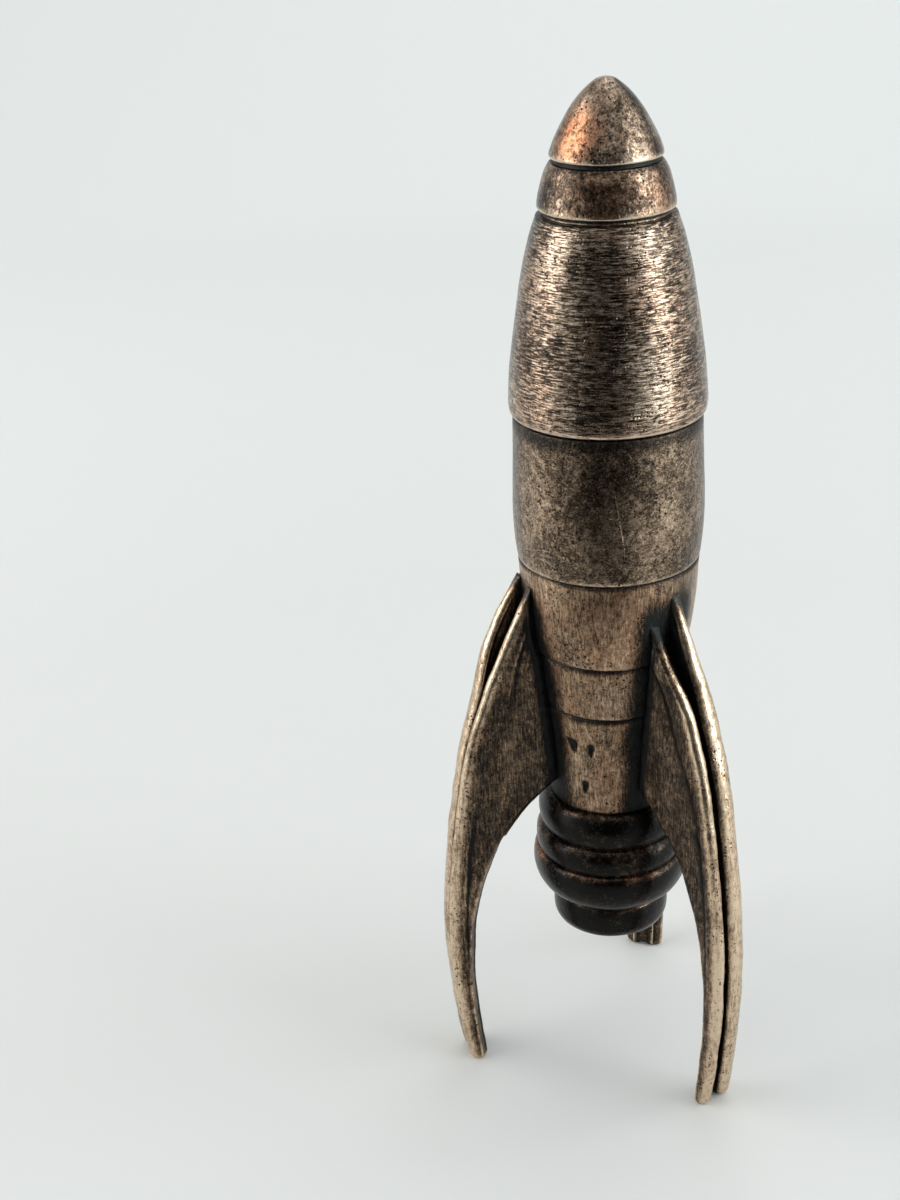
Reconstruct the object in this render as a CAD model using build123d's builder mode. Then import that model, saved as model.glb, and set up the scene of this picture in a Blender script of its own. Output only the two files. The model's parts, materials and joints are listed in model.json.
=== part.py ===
from build123d import *
import math
import os

os.makedirs("parts", exist_ok=True)

# A space rocket ornament, 200 mm tall, standing on three curved fins.
# Turned metal sections are stacked on a tie rod, and the nose section lifts off a spigot.
# Millimetres, +Z up. The origin is on the rocket's axis, at the level of the table.

# ---- driving dimensions -------------------------------------------------
TIP_Z = 200.0
NOSE_Z = 186.7          # flat underside of the nose cone
NECK_TOP_Z = 186.0
NECK_Z = 178.0
CROWN_Z = 177.1         # top face of the upper hull
LIP_Z = 141.2           # lower edge of the upper hull
MIDDLE_TOP_Z = 140.8
LOW_SEAM_Z = 112.5
WAIST_SEAM_Z = 94.3
TAIL_SEAM_Z = 82.7
TAIL_Z = 60.9
BAND_TOP_Z = 53.2
BELL_TOP_Z = 47.6
EXIT_TOP_Z = 37.4
EXIT_Z = 30.6

REGISTER = 3.0          # length of the turned register that centres one section in the next
SEAM_CHAMFER = 0.35     # edge break that draws the dark line at a seam

SPIGOT_R = 15.2         # spigot that the nose section slides over
SPIGOT_FIT = 0.05
SPIGOT_TOP_Z = 153.5
PLUG_R = 14.7           # lower half of the plug, inside the middle hull
PLUG_Z = 131.0
POCKET_R = 5.2          # pocket in the plug's top that holds the rod's nut
POCKET_Z = 147.0

ROD_R = 2.0
ROD_HOLE_R = 2.1
NUT_H = 3.0
NUT_FLATS_R = 3.3       # half of the size across flats
WASHER_R = 4.4
WASHER_H = 0.8
STUD_R = 1.7
STUD_HOLE_R = 1.8

CORE_R = 8.0            # tube that the nozzle's rings are threaded on
CORE_TOP_Z = 66.0
MOUTH_R = 9.0
MOUTH_TOP_R = 7.4
MOUTH_FLOOR_Z = 35.8

FIN_ANGLES = (90.0, 213.0, 327.0)  # as set by hand on the hull
WEB_HALF = 1.0          # half thickness of the fin's middle plate
FIN_HALF = 3.9          # half thickness over the two cheeks
PIN_R = 0.7
PIN_HEIGHTS = (74.0, 88.5)
PIN_STARTS = (9.0, 10.2)  # radius of each pin's inner end, inside the hull's wall
PIN_END = 19.0


def save(part, name):
    part.label = name
    export_step(part, f"parts/{name}.step")


def fin_plane(angle, offset):
    """Plane through the axis at this angle: local x is the radius, local y is up."""
    a = math.radians(angle)
    side = Vector(-math.sin(a), math.cos(a), 0)
    return Plane(origin=side * offset, x_dir=(math.cos(a), math.sin(a), 0), z_dir=-side)


def radial_plane(angle, radius, height):
    """Plane square to the radius at this angle, facing outwards."""
    outward = Vector(1, 0, 0).rotate(Axis.Z, angle)
    return Plane(origin=outward * radius + Vector(0, 0, height), z_dir=outward)


# ---- nose section (lifts off) -------------------------------------------
with BuildPart() as nose_cone:
    with BuildSketch(Plane.XZ):
        with BuildLine():
            base = Line((0, NOSE_Z), (9.65, NOSE_Z))
            edge = Line(base @ 1, (9.95, NOSE_Z + 0.4))
            side = Spline(edge @ 1, (8.95, 190.1), (7.65, 192.6), (6.15, 195.1), (4.3, 197.4),
                          (2.3, 199.2), (0, TIP_Z), tangents=((0, 1), (-1, 0)))
            Line(side @ 1, base @ 0)
        make_face()
    revolve(axis=Axis.Z)
    with BuildSketch(Plane.XY.offset(NOSE_Z)):
        Circle(STUD_R)
    extrude(amount=6.5, mode=Mode.SUBTRACT)
save(nose_cone.part, "nose_cone")

with BuildPart() as neck_ring:
    with BuildSketch(Plane.XZ):
        with BuildLine():
            lower = Polyline((0, CROWN_Z), (11.3, CROWN_Z), (11.3, NECK_Z), (11.9, NECK_Z))
            side = Spline(lower @ 1, (12.1, NECK_Z + 0.3), (11.7, 181.0), (10.9, 184.0),
                          (10.15, NECK_TOP_Z - 0.3))
            Polyline(side @ 1, (9.8, NECK_TOP_Z), (9.1, NECK_TOP_Z), (9.1, NOSE_Z),
                     (0, NOSE_Z), (0, CROWN_Z))
        make_face()
    revolve(axis=Axis.Z)
    with BuildSketch(Plane.XY.offset(CROWN_Z)):
        Circle(STUD_HOLE_R)
    extrude(amount=NOSE_Z - CROWN_Z, mode=Mode.SUBTRACT)
save(neck_ring.part, "neck_ring")

CAP_CEILING_Z = 171.0
with BuildPart() as upper_hull:
    with BuildSketch(Plane.XZ):
        with BuildLine():
            top = Line((0, CROWN_Z), (12.1, CROWN_Z))
            edge = Line(top @ 1, (12.5, CROWN_Z - 0.3))
            side = Spline(edge @ 1, (13.8, 173.0), (15.0, 168.0), (15.9, 163.0), (16.75, 157.5),
                          (17.7, 150.5), (18.2, 144.0), (18.1, LIP_Z + 0.4))
            rim = Polyline(side @ 1, (17.8, LIP_Z), (SPIGOT_R + SPIGOT_FIT, LIP_Z))
            bore = Polyline(rim @ 1, (SPIGOT_R + SPIGOT_FIT, SPIGOT_TOP_Z + 0.05),
                            (13.2, SPIGOT_TOP_Z + 0.05), (12.7, 161.0),
                            (9.6, CAP_CEILING_Z), (0, CAP_CEILING_Z), (0, CROWN_Z))
        make_face()
    revolve(axis=Axis.Z)
    with BuildSketch(Plane.XY.offset(CAP_CEILING_Z)):
        Circle(STUD_HOLE_R)
    extrude(amount=CROWN_Z - CAP_CEILING_Z, mode=Mode.SUBTRACT)
save(upper_hull.part, "upper_hull")

with BuildPart() as nose_washer:
    with BuildSketch(Plane.XY.offset(CAP_CEILING_Z - WASHER_H)):
        Circle(WASHER_R)
        Circle(STUD_HOLE_R, mode=Mode.SUBTRACT)
    extrude(amount=WASHER_H)
save(nose_washer.part, "nose_washer")

NOSE_NUT_Z = CAP_CEILING_Z - WASHER_H - NUT_H
with BuildPart() as nose_nut:
    with BuildSketch(Plane.XY.offset(NOSE_NUT_Z)):
        RegularPolygon(NUT_FLATS_R, 6, major_radius=False)
        Circle(STUD_R, mode=Mode.SUBTRACT)
    extrude(amount=NUT_H)
save(nose_nut.part, "nose_nut")

with BuildPart() as nose_stud:
    with BuildSketch(Plane.XY.offset(NOSE_NUT_Z - 0.6)):
        Circle(STUD_R)
    extrude(amount=NOSE_Z + 6.0 - NOSE_NUT_Z + 0.6)
    chamfer(nose_stud.faces().sort_by(Axis.Z)[-1].edges(), 0.4)
save(nose_stud.part, "nose_stud")

# ---- plug and spigot at the top of the airframe -------------------------
with BuildPart() as spigot_plug:
    with BuildSketch(Plane.XZ):
        with BuildLine():
            Polyline((ROD_HOLE_R, PLUG_Z), (PLUG_R, PLUG_Z), (PLUG_R, MIDDLE_TOP_Z),
                     (SPIGOT_R, MIDDLE_TOP_Z), (SPIGOT_R, SPIGOT_TOP_Z - 0.8),
                     (SPIGOT_R - 0.8, SPIGOT_TOP_Z), (POCKET_R, SPIGOT_TOP_Z),
                     (POCKET_R, POCKET_Z), (ROD_HOLE_R, POCKET_Z), close=True)
        make_face()
    revolve(axis=Axis.Z)
save(spigot_plug.part, "spigot_plug")

# ---- hull sections ------------------------------------------------------
with BuildPart() as middle_hull:
    with BuildSketch(Plane.XZ):
        with BuildLine():
            side = Spline((17.5, MIDDLE_TOP_Z - SEAM_CHAMFER), (17.65, 134.0), (17.95, 124.0),
                          (17.85, 118.5), (17.25, LOW_SEAM_Z + SEAM_CHAMFER))
            Polyline(side @ 1, (17.25 - SEAM_CHAMFER, LOW_SEAM_Z), (14.2, LOW_SEAM_Z),
                     (14.2, LOW_SEAM_Z - REGISTER), (12.2, LOW_SEAM_Z - REGISTER), (12.2, 117.0),
                     (PLUG_R, 121.0), (PLUG_R, MIDDLE_TOP_Z),
                     (17.5 - SEAM_CHAMFER, MIDDLE_TOP_Z), side @ 0)
        make_face()
    revolve(axis=Axis.Z)
save(middle_hull.part, "middle_hull")

with BuildPart() as lower_hull:
    with BuildSketch(Plane.XZ):
        with BuildLine():
            side = Spline((17.2, LOW_SEAM_Z - SEAM_CHAMFER), (16.75, 105.5), (16.05, 99.5),
                          (15.2, WAIST_SEAM_Z + SEAM_CHAMFER))
            Polyline(side @ 1, (15.2 - SEAM_CHAMFER, WAIST_SEAM_Z), (12.0, WAIST_SEAM_Z),
                     (12.0, WAIST_SEAM_Z - REGISTER), (10.2, WAIST_SEAM_Z - REGISTER),
                     (10.2, 97.5), (12.4, 101.0), (12.4, LOW_SEAM_Z - REGISTER),
                     (14.2, LOW_SEAM_Z - REGISTER), (14.2, LOW_SEAM_Z),
                     (17.2 - SEAM_CHAMFER, LOW_SEAM_Z), side @ 0)
        make_face()
    revolve(axis=Axis.Z)
save(lower_hull.part, "lower_hull")

with BuildPart() as waist_sleeve:
    with BuildSketch(Plane.XZ):
        with BuildLine():
            Polyline((12.0, WAIST_SEAM_Z), (14.8 - SEAM_CHAMFER, WAIST_SEAM_Z),
                     (14.8, WAIST_SEAM_Z - SEAM_CHAMFER), (13.55, TAIL_SEAM_Z + SEAM_CHAMFER),
                     (13.55 - SEAM_CHAMFER, TAIL_SEAM_Z), (10.5, TAIL_SEAM_Z),
                     (10.5, TAIL_SEAM_Z - REGISTER), (9.0, TAIL_SEAM_Z - REGISTER), (9.0, 87.5),
                     (10.2, WAIST_SEAM_Z - REGISTER), (12.0, WAIST_SEAM_Z - REGISTER),
                     close=True)
        make_face()
    revolve(axis=Axis.Z)
    for angle in FIN_ANGLES:
        with BuildSketch(radial_plane(angle, 0, PIN_HEIGHTS[1])):
            Circle(PIN_R)
        extrude(amount=16.0, mode=Mode.SUBTRACT)
save(waist_sleeve.part, "waist_sleeve")

# three small punch marks on one side of the tail: (angle, height)
PUNCH_MARKS = ((251.3, 75.4), (268.6, 75.6), (261.9, 66.9))
PUNCH_R = 0.8
with BuildPart() as tail_sleeve:
    with BuildSketch(Plane.XZ):
        with BuildLine():
            side = Spline((13.4, TAIL_SEAM_Z - SEAM_CHAMFER), (12.55, 74.5), (12.1, 66.5),
                          (12.0, TAIL_Z))
            Polyline(side @ 1, (CORE_R, TAIL_Z), (CORE_R, TAIL_SEAM_Z - REGISTER - 2.0),
                     (9.0, TAIL_SEAM_Z - REGISTER), (10.5, TAIL_SEAM_Z - REGISTER),
                     (10.5, TAIL_SEAM_Z), (13.4 - SEAM_CHAMFER, TAIL_SEAM_Z), side @ 0)
        make_face()
    revolve(axis=Axis.Z)
    for angle, height in PUNCH_MARKS:
        with Locations(Vector(12.8, 0, height).rotate(Axis.Z, angle)):
            Sphere(PUNCH_R, mode=Mode.SUBTRACT)
    for angle in FIN_ANGLES:
        with BuildSketch(radial_plane(angle, 0, PIN_HEIGHTS[0])):
            Circle(PIN_R)
        extrude(amount=16.0, mode=Mode.SUBTRACT)
save(tail_sleeve.part, "tail_sleeve")

# ---- nozzle -------------------------------------------------------------
with BuildPart() as nozzle_core:
    with BuildSketch(Plane.XY.offset(EXIT_TOP_Z)):
        Circle(CORE_R)
        Circle(ROD_HOLE_R, mode=Mode.SUBTRACT)
    extrude(amount=CORE_TOP_Z - EXIT_TOP_Z)
save(nozzle_core.part, "nozzle_core")

with BuildPart() as nozzle_collar:
    with BuildSketch(Plane.XZ):
        with BuildLine():
            side = Spline((12.4, TAIL_Z), (13.6, 59.8), (14.35, 57.6), (14.3, 55.2),
                          (13.6, BAND_TOP_Z))
            Polyline(side @ 1, (CORE_R, BAND_TOP_Z), (CORE_R, TAIL_Z), side @ 0)
        make_face()
    revolve(axis=Axis.Z)
save(nozzle_collar.part, "nozzle_collar")

with BuildPart() as nozzle_band:
    with BuildSketch(Plane.XZ):
        with BuildLine():
            side = Spline((13.8, BAND_TOP_Z), (14.8, 51.9), (15.1, 50.1), (14.7, BELL_TOP_Z))
            Polyline(side @ 1, (CORE_R, BELL_TOP_Z), (CORE_R, BAND_TOP_Z), side @ 0)
        make_face()
    revolve(axis=Axis.Z)
save(nozzle_band.part, "nozzle_band")

with BuildPart() as nozzle_bell:
    with BuildSketch(Plane.XZ):
        with BuildLine():
            side = Spline((14.8, BELL_TOP_Z), (15.6, 45.9), (15.6, 43.3), (14.4, 40.2),
                          (11.6, EXIT_TOP_Z))
            Polyline(side @ 1, (CORE_R, EXIT_TOP_Z), (CORE_R, BELL_TOP_Z), side @ 0)
        make_face()
    revolve(axis=Axis.Z)
save(nozzle_bell.part, "nozzle_bell")

with BuildPart() as exit_ring:
    with BuildSketch(Plane.XZ):
        with BuildLine():
            side = Spline((11.3, EXIT_TOP_Z), (11.7, 34.8), (11.6, 32.2), (10.4, EXIT_Z))
            Polyline(side @ 1, (MOUTH_R, EXIT_Z), (MOUTH_TOP_R, MOUTH_FLOOR_Z),
                     (ROD_HOLE_R, MOUTH_FLOOR_Z), (ROD_HOLE_R, EXIT_TOP_Z), side @ 0)
        make_face()
    revolve(axis=Axis.Z)
save(exit_ring.part, "exit_ring")

# ---- tie rod and its fasteners ------------------------------------------
BOTTOM_NUT_Z = MOUTH_FLOOR_Z - WASHER_H - NUT_H
TOP_NUT_Z = POCKET_Z + WASHER_H
with BuildPart() as tie_rod:
    with BuildSketch(Plane.XY.offset(BOTTOM_NUT_Z - 0.8)):
        Circle(ROD_R)
    extrude(amount=TOP_NUT_Z + NUT_H + 0.8 - (BOTTOM_NUT_Z - 0.8))
    chamfer(tie_rod.edges(), 0.4)
save(tie_rod.part, "tie_rod")

with BuildPart() as tie_rod_nuts:
    for z in (BOTTOM_NUT_Z, TOP_NUT_Z):
        with BuildSketch(Plane.XY.offset(z)):
            RegularPolygon(NUT_FLATS_R, 6, major_radius=False)
            Circle(ROD_R, mode=Mode.SUBTRACT)
        extrude(amount=NUT_H)
save(tie_rod_nuts.part, "tie_rod_nuts")

with BuildPart() as tie_rod_washers:
    for z in (MOUTH_FLOOR_Z - WASHER_H, POCKET_Z):
        with BuildSketch(Plane.XY.offset(z)):
            Circle(WASHER_R)
            Circle(ROD_HOLE_R, mode=Mode.SUBTRACT)
        extrude(amount=WASHER_H)
save(tie_rod_washers.part, "tie_rod_washers")


# ---- fins ---------------------------------------------------------------
def fin_outline(outer_points, root_top, foot_z):
    """Closed outline of a fin plate: outer edge, foot, curved inner edge and root line."""
    with BuildLine() as outline:
        outer = Spline(*outer_points)
        foot = Line(outer @ 1, (28.4, foot_z))
        inner = Spline(foot @ 1, (29.7, 12.5), (30.2, 24.5), (28.5, 39.4), (22.9, 53.9),
                       (16.0, 62.2), (9.9, 66.9))
        Polyline(inner @ 1, (11.5, TAIL_SEAM_Z), (13.2, WAIST_SEAM_Z), root_top, outer @ 0)
    return outline


CHEEK_EDGE = ((16.8, 108.8), (18.9, 104.4), (22.4, 96.6), (26.6, 86.2), (30.4, 74.0),
              (33.2, 58.0), (34.7, 45.0), (35.4, 33.0), (34.9, 20.0), (33.6, 8.0), (32.2, 0.0))
# the web's edge lies deeper than the cheeks' edges, most of all at the top of the fin
WEB_EDGE = ((15.4, 98.5), (19.6, 91.0), (25.0, 79.5), (29.4, 65.0), (32.0, 50.0), (33.4, 33.0),
            (33.1, 20.0), (32.0, 8.0), (30.9, 1.8))
cheek_outline = fin_outline(CHEEK_EDGE, (14.6, 107.8), 0.0)
web_outline = fin_outline(WEB_EDGE, (13.4, 97.6), 1.8)

HULL = (lower_hull.part, waist_sleeve.part, tail_sleeve.part)
for number, angle in enumerate(FIN_ANGLES, start=1):
    for side_name, side in (("left", 1), ("right", -1)):
        with BuildPart() as cheek:
            with BuildSketch(fin_plane(angle, side * WEB_HALF)):
                add(cheek_outline.line)
                make_face()
            extrude(amount=-side * (FIN_HALF - WEB_HALF))
            for section in HULL:
                add(section, mode=Mode.SUBTRACT)
        save(cheek.part, f"fin_{number}_{side_name}_cheek")
    with BuildPart() as web:
        with BuildSketch(fin_plane(angle, WEB_HALF)):
            add(web_outline.line)
            make_face()
        extrude(amount=2 * WEB_HALF)
        for section in HULL:
            add(section, mode=Mode.SUBTRACT)
        for height in PIN_HEIGHTS:
            with BuildSketch(radial_plane(angle, 0, height)):
                Circle(PIN_R)
            extrude(amount=PIN_END, mode=Mode.SUBTRACT)
    save(web.part, f"fin_{number}_web")

with BuildPart() as fin_pins:
    for angle in FIN_ANGLES:
        for height, start in zip(PIN_HEIGHTS, PIN_STARTS):
            with BuildSketch(radial_plane(angle, start, height)):
                Circle(PIN_R)
            extrude(amount=PIN_END - start)
save(fin_pins.part, "fin_pins")
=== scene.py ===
import json
import math

import bmesh
import bpy
import numpy as np
from mathutils import Matrix, Vector
from mathutils import noise as turbulence


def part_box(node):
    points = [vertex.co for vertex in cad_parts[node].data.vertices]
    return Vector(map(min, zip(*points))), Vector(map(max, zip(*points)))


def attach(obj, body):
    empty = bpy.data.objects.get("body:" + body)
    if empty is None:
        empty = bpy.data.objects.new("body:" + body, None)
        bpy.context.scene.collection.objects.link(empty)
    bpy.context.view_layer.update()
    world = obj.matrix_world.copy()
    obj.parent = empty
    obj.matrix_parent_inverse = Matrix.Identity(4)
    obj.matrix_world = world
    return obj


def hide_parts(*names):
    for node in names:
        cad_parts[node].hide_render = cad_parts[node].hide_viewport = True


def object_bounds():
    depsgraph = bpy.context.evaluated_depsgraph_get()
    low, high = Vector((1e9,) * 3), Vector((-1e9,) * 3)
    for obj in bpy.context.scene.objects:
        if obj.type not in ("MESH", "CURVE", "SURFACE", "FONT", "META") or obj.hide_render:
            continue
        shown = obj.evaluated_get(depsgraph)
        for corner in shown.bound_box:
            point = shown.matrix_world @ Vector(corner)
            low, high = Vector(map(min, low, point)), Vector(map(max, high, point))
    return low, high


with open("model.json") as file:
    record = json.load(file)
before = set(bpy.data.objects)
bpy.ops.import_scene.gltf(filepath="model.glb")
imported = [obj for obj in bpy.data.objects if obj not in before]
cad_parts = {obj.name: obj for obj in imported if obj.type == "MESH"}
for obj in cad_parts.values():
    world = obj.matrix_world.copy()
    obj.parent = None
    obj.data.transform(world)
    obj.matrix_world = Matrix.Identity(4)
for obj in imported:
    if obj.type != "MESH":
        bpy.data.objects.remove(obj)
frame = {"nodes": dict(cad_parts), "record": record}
CAD_BOX = [list(corner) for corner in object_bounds()]

bl_info = {
    "name": "Bronze Space Rocket",
    "version": (1, 0, 0),
    "blender": (4, 5, 0),
    "location": "View3D > Sidebar > Rocket",
    "description": "Builds a patinated bronze space rocket with three fins around its packed frame",
    "category": "Add Mesh",
}

MM = 0.001
AIRFRAME = "airframe"
NOSE_SECTION = "nose_section"
FIN_ANGLES = (90.0, 213.0, 327.0)
HEIGHT = CAD_BOX[1][2]


# ---- settings ------------------------------------------------------------
def length(name, description, default):
    return bpy.props.FloatProperty(name=name, description=description, default=default,
                                   min=0.0, unit="LENGTH", subtype="DISTANCE")


def colour(name, description, default):
    return bpy.props.FloatVectorProperty(name=name, description=description, default=default,
                                         size=3, min=0.0, max=1.0, subtype="COLOR")


class RocketSizes(bpy.types.PropertyGroup):
    """Sizes of the finish that a user would change."""
    dent_depth: length("Dent depth", "How far the hull strays from a true turning", 0.09 * MM)
    dent_size: length("Dent size", "Distance between the hull's shallow dents", 7.0 * MM)
    tool_depth: length("Tooling depth", "Depth of the fine file marks", 0.022 * MM)
    tool_size: length("Tooling size", "Distance between the fine file marks", 0.9 * MM)
    rim_radius: length("Rim radius", "Radius of the rounded rim along a fin's outer edge", 1.35 * MM)
    face_step: length("Face step", "How far a fin's flat face lies below its rim", 0.45 * MM)
    foot_radius: length("Foot radius", "Rounding under each foot", 1.1 * MM)
    thread_pitch: length("Thread pitch", "Pitch of the tie rod's thread", 0.7 * MM)
    segments: bpy.props.IntProperty(name="Segments", description="Facets round a turned section",
                                    default=256, min=24, max=512)


class RocketColours(bpy.types.PropertyGroup):
    """Colours of the patina and of the stage."""
    black: colour("Black patina", "Patina left in recesses", (0.010, 0.0095, 0.009))
    brown: colour("Brown patina", "Patina on the broad faces", (0.085, 0.058, 0.038))
    bronze: colour("Rubbed bronze", "Bronze where the patina is thin", (0.34, 0.235, 0.15))
    bright: colour("Bright bronze", "Bronze on worn edges", (0.72, 0.56, 0.40))
    pale: colour("Pale bronze", "Bare metal of the nose section", (0.66, 0.60, 0.53))
    copper: colour("Copper blush", "Warm patches of the nose and nozzle", (0.62, 0.24, 0.11))
    verdigris: colour("Groove grey", "Grey-green dust in the grooves", (0.045, 0.055, 0.050))
    brass: colour("Turned brass", "Bare brass of the spigot", (0.62, 0.45, 0.22))
    steel: colour("Steel", "Nuts, washers and rods", (0.50, 0.49, 0.47))
    floor: colour("Floor", "Table top", (0.745, 0.75, 0.73))
    # Paler than the floor: the table fades to it away from the rocket, as painted light in place of a
    # light from behind.
    wall: colour("Wall", "Backdrop", (0.845, 0.86, 0.845))


def sizes():
    return bpy.context.scene.rocket_sizes


def colours():
    return bpy.context.scene.rocket_colours


# ---- node helpers --------------------------------------------------------
def add_node(tree, kind, inputs=(), **settings):
    """Adds a node, sets its properties, and fills its inputs with values or links."""
    node = tree.nodes.new(kind)
    for name, value in settings.items():
        setattr(node, name, value)
    for key, value in dict(inputs).items():
        socket = node.inputs[key]
        if isinstance(value, bpy.types.NodeSocket):
            tree.links.new(value, socket)
        else:
            socket.default_value = value
    return node


def math_node(tree, operation, a, b=0.0, clamp=False):
    return add_node(tree, "ShaderNodeMath", {0: a, 1: b}, operation=operation,
                    use_clamp=clamp).outputs[0]


def remap(tree, value, low, high, new_low=0.0, new_high=1.0):
    """Linear change of range, clamped."""
    return add_node(tree, "ShaderNodeMapRange", {0: value, 1: low, 2: high, 3: new_low,
                                                 4: new_high}).outputs[0]


def mix_colour(tree, factor, a, b):
    node = add_node(tree, "ShaderNodeMix", data_type="RGBA")
    for socket, value in zip([s for s in node.inputs if s.enabled], (factor, a, b)):
        if isinstance(value, bpy.types.NodeSocket):
            tree.links.new(value, socket)
        elif socket.type == "RGBA":
            socket.default_value = (*value, 1.0)
        else:
            socket.default_value = value
    return [s for s in node.outputs if s.enabled][0]


def stretched(tree, point, scale):
    """The point in millimetres, scaled on each axis, which stretches a pattern along the small ones."""
    mapping = add_node(tree, "ShaderNodeMapping", {"Vector": point})
    mapping.inputs["Scale"].default_value = [s / MM for s in scale]
    return mapping.outputs[0]


def noise(tree, vector, detail=4.0, roughness=0.55, distortion=0.0, scale=1.0):
    return add_node(tree, "ShaderNodeTexNoise",
                    {"Vector": vector, "Scale": scale, "Detail": detail, "Roughness": roughness,
                     "Distortion": distortion}).outputs["Fac"]


# ---- materials -----------------------------------------------------------
def patina(name, dashes, dash_strength, level, pits=0.5, curl=0.0, scratches=0.0, copper=0.0,
           spot=(), pale=0.0, roughness=0.36, bump=1.0, metallic=0.92, contrast=1.0):
    """Antique bronze: black patina under brown under rubbed bronze, with tool marks and pits.

    dashes is the stretch of the tool marks per millimetre on x, y and z. level moves the whole
    finish from black, 0, to rubbed bright, 1. The mesh's rub attribute adds wear on edges. Its
    other attribute darkens the metal and tints it grey-green: patina and dust in recesses, and
    painted shade under lips, beside the fins and in the fin channels. spot is the middle of a
    copper patch, in millimetres.
    """
    c = colours()
    material = bpy.data.materials.new(name)
    material.use_nodes = True
    tree = material.node_tree
    tree.nodes.clear()
    point = add_node(tree, "ShaderNodeTexCoord").outputs["Object"]
    rub = add_node(tree, "ShaderNodeAttribute", attribute_name="rub").outputs["Fac"]
    # This attribute holds painted shade as well as patina and dust in recesses.
    stored_grime_and_shade = add_node(tree, "ShaderNodeAttribute", attribute_name="grime_and_shade").outputs["Fac"]

    patches = noise(tree, stretched(tree, point, (0.11, 0.11, 0.08)), 3.0, 0.6)
    mottle = noise(tree, stretched(tree, point, (0.75, 0.75, 0.75)), 5.0, 0.7, 0.4)
    marks = noise(tree, stretched(tree, point, dashes), 3.0, 0.62, 0.35 + curl)
    fine = noise(tree, stretched(tree, point, [1.9 * d for d in dashes]), 2.0, 0.6, 0.2 + curl)
    speck = noise(tree, stretched(tree, point, (3.4, 3.4, 3.4)), 3.0, 0.7)
    grime_and_shade = math_node(tree, "MULTIPLY", stored_grime_and_shade, remap(tree, mottle, 0.36, 0.60, 0.55, 1.0))
    cells = add_node(tree, "ShaderNodeTexVoronoi",
                     {"Vector": stretched(tree, point, (1.15, 1.15, 1.15)), "Scale": 1.0,
                      "Randomness": 1.0}).outputs["Distance"]
    pit_zone = remap(tree, noise(tree, stretched(tree, point, (0.16, 0.16, 0.16)), 2.0), 0.46, 0.62)
    pit = math_node(tree, "MULTIPLY", remap(tree, cells, 0.30, 0.13), pit_zone)

    wear = math_node(tree, "ADD", level, math_node(tree, "MULTIPLY", 0.75 * contrast,
                                                   math_node(tree, "SUBTRACT", patches, 0.5)))
    for value, amount in ((mottle, 0.85), (marks, dash_strength), (fine, 0.6 * dash_strength),
                          (speck, 0.75)):
        swing = math_node(tree, "SUBTRACT", value, 0.5)
        wear = math_node(tree, "ADD", wear, math_node(tree, "MULTIPLY", amount * contrast, swing))
    wear = math_node(tree, "ADD", wear, math_node(tree, "MULTIPLY", rub, 0.55))
    # Darkens by that mask: patina, dust and painted shade.
    wear = math_node(tree, "SUBTRACT", wear, math_node(tree, "MULTIPLY", grime_and_shade, 0.75))
    wear = math_node(tree, "SUBTRACT", wear, math_node(tree, "MULTIPLY", pit, pits), clamp=True)

    ramp = add_node(tree, "ShaderNodeValToRGB", {0: wear})
    stops = ramp.color_ramp.elements
    stops[0].position, stops[0].color = 0.10, (*c.black, 1.0)
    stops[1].position, stops[1].color = 0.95, (*c.bright, 1.0)
    for place, shade in ((0.36, c.brown), (0.66, c.bronze)):
        stops.new(place).color = (*shade, 1.0)
    base = ramp.outputs[0]
    if pale > 0.0:
        base = mix_colour(tree, remap(tree, wear, 0.35, 0.8, 0.0, pale), base, c.pale)
    if copper > 0.0:
        blush = remap(tree, noise(tree, stretched(tree, point, (0.10, 0.10, 0.07)), 3.0), 0.44, 0.60)
        blush = math_node(tree, "MULTIPLY", blush, copper)
        if spot:
            gap = add_node(tree, "ShaderNodeVectorMath", {0: point, 1: [v * MM for v in spot]},
                           operation="DISTANCE").outputs["Value"]
            near = math_node(tree, "MULTIPLY", remap(tree, gap, 6.5 * MM, 1.5 * MM),
                             remap(tree, mottle, 0.35, 0.58, 0.3, 0.9))
            blush = math_node(tree, "MAXIMUM", blush, near)
        blush = math_node(tree, "MULTIPLY", blush, remap(tree, wear, 0.2, 0.5))
        base = mix_colour(tree, blush, base, c.copper)
    # Grey-green tint by the same mask: dust in recesses, laid over the painted shade too.
    dust_and_shade = math_node(tree, "MULTIPLY", remap(tree, grime_and_shade, 0.45, 1.0), 0.55)
    base = mix_colour(tree, dust_and_shade, base, c.verdigris)

    gloss = math_node(tree, "ADD", roughness, math_node(tree, "MULTIPLY", 0.22,
                                                        math_node(tree, "SUBTRACT", mottle, 0.5)))
    gloss = math_node(tree, "SUBTRACT", gloss, math_node(tree, "MULTIPLY", rub, 0.10))
    gloss = math_node(tree, "ADD", gloss, math_node(tree, "MULTIPLY", grime_and_shade, 0.30), clamp=True)

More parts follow.
